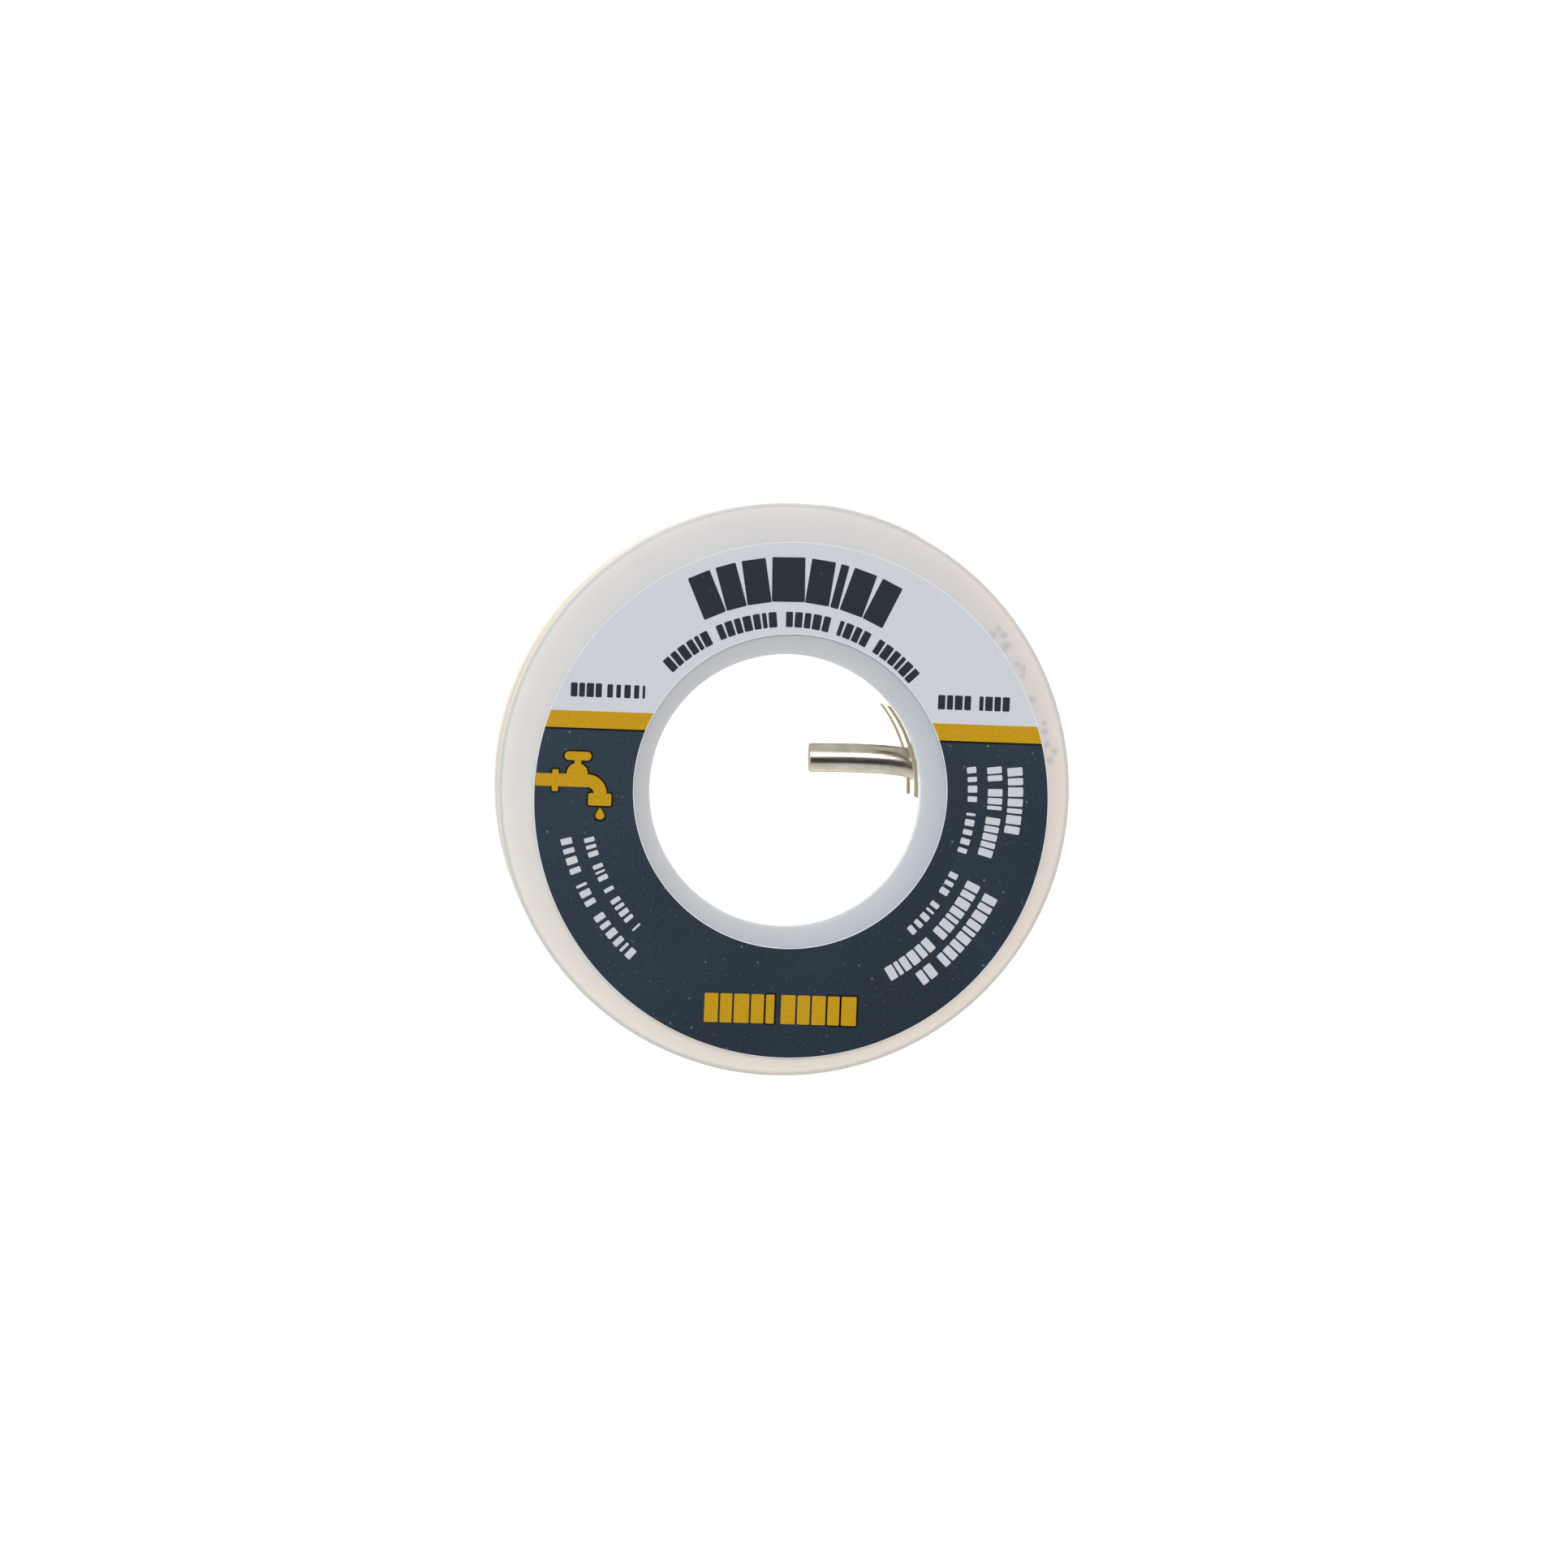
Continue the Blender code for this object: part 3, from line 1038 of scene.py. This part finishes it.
@dataclass
class RingLabel:
    """The printed paper ring on the front flange, stuck on a little low and to the right."""

    outer: float = 27.04 * MM
    centre: tuple[float, float] = (0.70 * MM, -1.12 * MM)
    hole: float = 16.42 * MM
    hole_centre: tuple[float, float] = (0.54 * MM, -0.14 * MM)
    band_height: float = 7.56 * MM
    band_slope: float = -0.0385
    band_width: float = 1.77 * MM
    keyline: float = 0.22 * MM
    edge_width: float = 0.085 * MM
    ink: float = 0.016 * MM
    glue: float = 0.03 * MM
    steps: int = 288

    def build(self, assembly: Assembly) -> None:
        """Makes the paper ring and the art printed on it.

        Args:
            assembly: What it joins.
        """
        low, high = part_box("front_label")
        self.paper(assembly, low.z - self.glue, high.z - self.ink)
        art = LabelArt(top=high.z, ink=self.ink)
        art.build(assembly)

    def paper(self, assembly: Assembly, low: float, high: float) -> None:
        """Makes the ring of paper, its printed zones and its pale cut edge.

        Args:
            assembly: What it joins.
            low: The height of its underside.
            high: The height of its printed side.
        """
        shape = bmesh.new()
        rims: list[bmesh.types.BMEdge] = []
        for radius, centre in ((self.outer, self.centre), (self.hole, self.hole_centre)):
            circle = bmesh.ops.create_circle(shape, segments=self.steps, radius=radius)["verts"]
            bmesh.ops.translate(shape, verts=circle, vec=(*centre, high))
            rims += {edge for vert in circle for edge in vert.link_edges}
        bmesh.ops.bridge_loops(shape, edges=rims)
        bmesh.ops.inset_region(
            shape, faces=shape.faces[:], thickness=self.edge_width, use_boundary=True, use_even_offset=True
        )
        zone_of_edge = {face: 1 for face in shape.faces if any(edge.is_boundary for edge in face.edges)}
        for face in shape.faces:
            face.material_index = zone_of_edge.get(face, 0)
        across = Vector((self.band_slope, -1.0, 0.0)).normalized()
        levels = (0.0, self.band_width, self.band_width + self.keyline)
        for level in levels:
            bmesh.ops.bisect_plane(
                shape, geom=shape.verts[:] + shape.edges[:] + shape.faces[:], dist=1e-8,
                plane_co=(0.0, self.band_height - level, high), plane_no=across,
            )
        for face in shape.faces:
            if face.material_index == 1:
                continue
            below = (face.calc_center_median() - Vector((0.0, self.band_height, high))).dot(across)
            face.material_index = (0, 2, 3, 4)[sum(below > level for level in levels)]
        shape.faces.ensure_lookup_table()
        for face in shape.faces:
            if face.normal.z < 0.0:
                face.normal_flip()
        top = shape.faces[:]
        grown = bmesh.ops.extrude_face_region(shape, geom=top, use_keep_orig=True)["geom"]
        under = [item for item in grown if isinstance(item, bmesh.types.BMVert)]
        bmesh.ops.translate(shape, verts=under, vec=(0.0, 0.0, low - high))
        for face in shape.faces:
            if abs(face.calc_center_median().z - high) > 1e-6:
                face.material_index = 1
        bmesh.ops.recalc_face_normals(shape, faces=shape.faces[:])
        finishes = [PAPER_WHITE, PAPER_EDGE, GOLD_INK, DARK_KEYLINE, NAVY_INK]
        assembly.shape("label_paper_ring", shape, finishes, Slot.PAPER, ["front_label"])


@dataclass
class LabelArt:
    """The printing: stand-in text as plain blocks, and a tap and drop sign."""

    top: float
    ink: float
    rooted: float = 1.3
    corner: float = 0.12 * MM
    outline: float = 0.20 * MM
    lean: float = math.radians(-2.2)
    dark_lines: tuple[TextLine, ...] = (
        TextLine((8,), 4.65, Weight.HEAVY, radius=22.0, angles=(115.6, 58.9), rhythm=HEADING_RHYTHM),
        TextLine((6, 7, 5, 4, 6), 1.6, Weight.BOLD, radius=17.85, angles=(134.0, 40.4)),
        TextLine((4,), 1.45, Weight.BOLD, ends=((-22.5, 10.62), (-19.1, 10.49))),
        TextLine((5,), 1.45, Weight.LIGHT, ends=((-18.8, 10.46), (-14.5, 10.28))),
        TextLine((4, 4), 1.5, Weight.BOLD, ends=((15.95, 9.18), (23.7, 8.88))),
    )
    white_lines: tuple[TextLine, ...] = (
        TextLine((3, 3, 1, 4, 1), 1.15, Weight.LIGHT, radius=21.15, angles=(192.8, 223.0)),
        TextLine((4, 3, 6), 1.25, Weight.LIGHT, radius=23.5, angles=(191.5, 227.6)),
        TextLine((7,), 1.6, Weight.BOLD, radius=24.25, angles=(5.6, -11.4)),
        TextLine((2, 3, 5), 1.55, Weight.BOLD, radius=22.1, angles=(6.3, -18.8)),
        TextLine((4, 5), 1.05, Weight.LIGHT, radius=19.7, angles=(7.4, -20.3)),
        TextLine((9, 2), 1.55, Weight.BOLD, radius=24.45, angles=(-27.2, -55.0)),
        TextLine((7, 6), 1.55, Weight.BOLD, radius=22.2, angles=(-26.2, -61.3)),
        TextLine((3, 5), 1.05, Weight.LIGHT, radius=19.85, angles=(-25.7, -49.3)),
    )
    gold_line: TextLine = TextLine((5, 5), 3.05, Weight.HEAVY, ends=((-8.65, -22.67), (7.55, -23.29)), gap=0.3)
    tap_blocks: tuple[tuple[float, float, float, float, float], ...] = (
        (-23.40, 1.185, 5.40, 1.32, 0.03),
        (-24.07, 1.17, 0.66, 2.28, 0.16),
        (-21.70, 3.05, 0.68, 0.90, 0.03),
        (-21.68, 3.68, 2.78, 0.90, 0.44),
        (-19.44, -0.87, 2.40, 1.28, 0.18),
    )
    bonnet: tuple[float, float, float] = (-21.78, 1.85, 1.09)
    spout: tuple[float, float, float, float] = (-20.74, -0.27, 0.69, 2.02)
    drop: tuple[float, float, float, float] = (-19.42, -2.31, 0.62, 0.635)

    def build(self, assembly: Assembly) -> None:
        """Prints all the inks.

        Args:
            assembly: What they join.
        """
        for name, lines, finish in (
            ("heading_blocks", self.dark_lines, HEADING_INK),
            ("white_text_blocks", self.white_lines, WHITE_INK),
        ):
            shape = bmesh.new()
            for line in lines:
                self.text(shape, line)
            assembly.shape(name, self.raised(shape), [finish], Slot.PAPER)
        for name, grow, share, finish in (
            ("gold_art_outline", self.outline, 0.6, DARK_KEYLINE),
            ("gold_art", 0.0, 1.0, GOLD_INK),
        ):
            shape = bmesh.new()
            self.text(shape, self.gold_line, grow)
            parts = [mesh_object(name, self.raised(shape, share), [finish])]
            parts += [mesh_object("tap_part", self.raised(part, share), [finish]) for part in self.tap(grow)]
            work(parts[0], parts[1:], "UNION")
            assembly.take(parts[0])

    def text(self, shape: bmesh.types.BMesh, line: TextLine, grow: float = 0.0) -> None:
        """Adds a line's blocks.

        Args:
            shape: What they join.
            line: The line.
            grow: How far each block is grown, for the outline under the gold.
        """
        for centre, turn, width in line.blocks():
            height = line.height * line.weight.value[0] * MM
            self.block(shape, centre, width + 2.0 * grow, height + 2.0 * grow, turn, self.corner + grow)

    def raised(self, shape: bmesh.types.BMesh, share: float = 1.0) -> bmesh.types.BMesh:
        """Gives flat art its thickness, standing in the paper and as high as the ink.

        Args:
            shape: The flat art, at height 0.
            share: How much of the ink's full height it has.

        Returns:
            The same shape.
        """
        for face in shape.faces:
            if face.normal.z < 0.0:
                face.normal_flip()
        high = self.top - self.ink * (1.0 - share)
        low = self.top - self.ink * self.rooted
        bmesh.ops.translate(shape, verts=shape.verts[:], vec=(0.0, 0.0, high))
        grown = bmesh.ops.extrude_face_region(shape, geom=shape.faces[:], use_keep_orig=True)["geom"]
        under = [item for item in grown if isinstance(item, bmesh.types.BMVert)]
        bmesh.ops.translate(shape, verts=under, vec=(0.0, 0.0, low - high))
        bmesh.ops.recalc_face_normals(shape, faces=shape.faces[:])
        return shape

    def block(
        self, shape: bmesh.types.BMesh, centre: Vector, width: float, height: float, turn: float = 0.0,
        corner: float | None = None,
    ) -> None:
        """Adds a flat rectangle with rounded corners.

        Args:
            shape: What it joins.
            centre: Its middle.
            width: Its width.
            height: Its height.
            turn: How far it is turned.
            corner: Its corner radius, or the art's own.
        """
        place = Matrix.Translation((centre.x, centre.y, 0.0)) @ Matrix.Rotation(turn, 4, "Z")
        place = place @ Matrix.Diagonal((width, height, 1.0, 1.0))
        corners = bmesh.ops.create_grid(shape, x_segments=1, y_segments=1, size=0.5, matrix=place)["verts"]
        reach = min(self.corner if corner is None else corner, 0.49 * width, 0.49 * height)
        bmesh.ops.bevel(
            shape, geom=corners, offset=reach, offset_type="OFFSET", affect="VERTICES", segments=4,
            profile=0.5, material=-1,
        )

    def elbow(
        self, shape: bmesh.types.BMesh, centre: Vector, inner: float, outer: float, angles: tuple[float, float]
    ) -> None:
        """Adds a flat bent bar.

        Args:
            shape: What it joins.
            centre: The middle of its bend.
            inner: The radius of its inner side.
            outer: The radius of its outer side.
            angles: Where it starts and ends, in degrees.
        """
        first, last = (math.radians(angle) for angle in angles)
        way = Vector((math.cos(first), math.sin(first), 0.0))
        middle = Vector((centre.x, centre.y, 0.0))
        ends = [shape.verts.new(middle + way * radius) for radius in (inner, outer)]
        bar = shape.edges.new(ends)
        bmesh.ops.spin(
            shape, geom=ends + [bar], cent=middle, axis=(0, 0, 1), angle=last - first, steps=16,
            use_merge=False, use_duplicate=False,
        )

    def tap(self, grow: float) -> list[bmesh.types.BMesh]:
        """Makes the flat parts of a tap with a drop below its mouth.

        Args:
            grow: How far each part is grown, for the outline under the gold.

        Returns:
            The parts, which overlap.
        """
        parts = []
        for x, y, width, height, corner in self.tap_blocks:
            shape = bmesh.new()
            end = 0.0 if width > 4.0 else grow
            place = Vector((x, y)) * MM + Vector((0.5 * (grow - end), 0.0))
            self.block(
                shape, place, width * MM + grow + end, height * MM + 2.0 * grow, self.lean, corner * MM + end
            )
            parts.append(shape)
        x, y, radius = self.bonnet
        disc = bmesh.new()
        middle = Vector((x, y)) * MM
        place = Matrix.Translation((middle.x, middle.y, 0.0))
        bmesh.ops.create_circle(disc, cap_ends=True, segments=40, radius=radius * MM + grow, matrix=place)
        x, y, inner, outer = self.spout
        spout = bmesh.new()
        self.elbow(spout, Vector((x, y)) * MM, inner * MM - grow, outer * MM + grow, (94.0, -6.0))
        x, y, half_width, half_height = self.drop
        drop = bmesh.new()
        self.teardrop(drop, Vector((x, y)) * MM, half_width * MM + 1.3 * grow, half_height * MM + 1.2 * grow)
        return parts + [disc, spout, drop]

    def teardrop(self, shape: bmesh.types.BMesh, centre: Vector, half_width: float, half_height: float) -> None:
        """Adds a flat drop with its point at the top.

        Args:
            shape: What it joins.
            centre: Half way between its point and its foot.
            half_width: Its bulb's fullness.
            half_height: Half its height.
        """
        rim = bmesh.ops.create_circle(shape, cap_ends=True, segments=48, radius=1.0)["verts"]
        for vert in rim:
            from_top = math.atan2(abs(vert.co.x), vert.co.y)
            vert.co.x *= half_width * math.sin(from_top / 2) ** 1.3
            vert.co.y *= half_height
        bmesh.ops.translate(shape, verts=rim, vec=(centre.x, centre.y, 0.0))


@dataclass
class HoldingTape:
    """A short strip of clear tape laid over both rims, which bows out a little between its ends."""

    angles: tuple[float, float] = (math.radians(62.0), math.radians(83.0))
    thickness: float = 0.05 * MM
    stand_off: float = 0.02 * MM
    bow: float = 0.26 * MM

    def build(self, assembly: Assembly) -> None:
        """Makes the strip.

        Args:
            assembly: What it joins.
        """
        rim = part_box("front_flange")[1].x
        low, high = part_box("holding_tape")[0].z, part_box("holding_tape")[1].z
        first, last = self.angles
        radius = rim + self.stand_off
        heights = spaced(low, high, 24)
        shape = bmesh.new()
        line = [shape.verts.new((radius * math.cos(first), radius * math.sin(first), z)) for z in heights]
        edges = [shape.edges.new(pair) for pair in zip(line, line[1:])]
        bmesh.ops.spin(
            shape, geom=line + edges, cent=(0, 0, 0), axis=(0, 0, 1), angle=last - first, steps=48,
            use_merge=False, use_duplicate=False,
        )
        for vert in shape.verts:
            share = (math.atan2(vert.co.y, vert.co.x) - first) / (last - first)
            lift = self.bow * math.sin(math.pi * min(1.0, max(0.0, share))) ** 0.6
            ripple = 0.2 * self.bow * math.sin(9.0 * math.pi * share) * math.sin(math.pi * share)
            vert.co.xy *= 1.0 + (lift + ripple) / radius
        bmesh.ops.recalc_face_normals(shape, faces=shape.faces[:])
        if shape.faces[:][0].normal.dot(shape.faces[:][0].calc_center_median()) < 0.0:
            bmesh.ops.reverse_faces(shape, faces=shape.faces[:])
        bmesh.ops.solidify(shape, geom=shape.faces[:], thickness=self.thickness)
        bmesh.ops.recalc_face_normals(shape, faces=shape.faces[:])
        assembly.shape("tape_strip", shape, [FILM], Slot.TAPE, ["holding_tape"])


# ---------------------------------------------------------------- studio


@dataclass
class Studio:
    """The pale sheet, the soft light and the camera."""

    camera_place: tuple[float, float, float] = (-0.0451, 0.0253, 0.5056)
    aim: tuple[float, float, float] = (-0.00015, 0.00065, 0.0150)
    lens_mm: float = 108.35
    sheet_size: float = 6.0
    softbox_place: tuple[float, float, float] = (-0.05, 0.44, 0.92)
    softbox_size: tuple[float, float] = (1.0, 0.42)
    softbox_power: float = 5.0

    def build(self) -> None:
        """Makes the sheet, the lights and the camera."""
        self.sheet()
        self.softbox()
        self.surroundings()
        self.camera()

    def sheet(self) -> None:
        """Makes the pale sheet that the spool lies on."""
        shape = bmesh.new()
        bmesh.ops.create_grid(shape, x_segments=1, y_segments=1, size=self.sheet_size / 2)
        bmesh.ops.translate(shape, verts=shape.verts[:], vec=(0.0, 0.0, -0.00005))
        mesh_object("pale_sheet", shape, [LightTable("light_table")])

    def softbox(self) -> None:
        """Makes the large soft light above the far side."""
        light = bpy.data.lights.new("softbox", "AREA")
        light.shape = "RECTANGLE"
        light.size, light.size_y = self.softbox_size
        light.energy = self.softbox_power
        lamp = bpy.data.objects.new("softbox", light)
        bpy.context.scene.collection.objects.link(lamp)
        lamp.matrix_world = looking(Vector(self.softbox_place), Vector((0.0, 0.0, 0.01)))

    def surroundings(self) -> None:
        """Makes a pale room with a dark patch overhead, where the camera and its stand are."""
        world = bpy.data.worlds.new("pale_room")
        world.use_nodes = True
        tree = world.node_tree
        tree.nodes.clear()
        way = add_node(tree, "ShaderNodeTexCoord").outputs["Generated"]
        split = add_node(tree, "ShaderNodeSeparateXYZ", {0: way})
        near = ranged(tree, split.outputs["Y"], (0.28, 0.15), interpolation_type="SMOOTHSTEP")
        far = ranged(tree, split.outputs["Y"], (-0.80, -0.62), interpolation_type="SMOOTHSTEP")
        high = ranged(tree, split.outputs["Z"], (0.35, 0.60), interpolation_type="SMOOTHSTEP")
        patch = reckoned(tree, "MULTIPLY", reckoned(tree, "MULTIPLY", near, far), high)
        rise = ranged(tree, split.outputs["Z"], (0.0, 0.5))
        walls = blended(tree, rise, linear("#E0DBCE"), linear("#F2F4F8"))
        mix = blended(tree, patch, walls, linear("#363636"))
        sky = add_node(tree, "ShaderNodeBackground", {"Color": mix, "Strength": 1.0})
        output = add_node(tree, "ShaderNodeOutputWorld")
        tree.links.new(sky.outputs[0], output.inputs["Surface"])
        bpy.context.scene.world = world

    def camera(self) -> None:
        """Makes the camera, nearly straight above and a little to the left."""
        data = bpy.data.cameras.new("camera")
        data.lens = self.lens_mm
        data.sensor_width = 36.0
        data.clip_start = 0.01
        camera = bpy.data.objects.new("camera", data)
        bpy.context.scene.collection.objects.link(camera)
        camera.matrix_world = looking(Vector(self.camera_place), Vector(self.aim))
        bpy.context.scene.camera = camera


def looking(place: Vector, target: Vector) -> Matrix:
    """A placing that looks at a target with +Y up in its view.

    Args:
        place: Where it stands.
        target: What it looks at.

    Returns:
        The placing matrix.
    """
    back = (place - target).normalized()
    right = Vector((0.0, 1.0, 0.0)).cross(back).normalized()
    up = back.cross(right)
    turn = Matrix((right, up, back)).transposed().to_4x4()
    return Matrix.Translation(place) @ turn


def main() -> None:
    """Loads the plain model, builds each sub-assembly round it and logs what each piece stands for and how many
    it made.
    """
    logging.basicConfig(level=logging.INFO, format="%(name)s: %(message)s")
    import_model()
    assembly = Assembly()
    SpoolMouldings().build(assembly)
    WoundSolder().build(assembly)
    RingLabel().build(assembly)
    HoldingTape().build(assembly)
    Studio().build()
    bpy.context.scene.view_settings.view_transform = "Standard"
    LOG.info("%d pieces made", len(assembly.made))


if __name__ == "__main__":
    main()
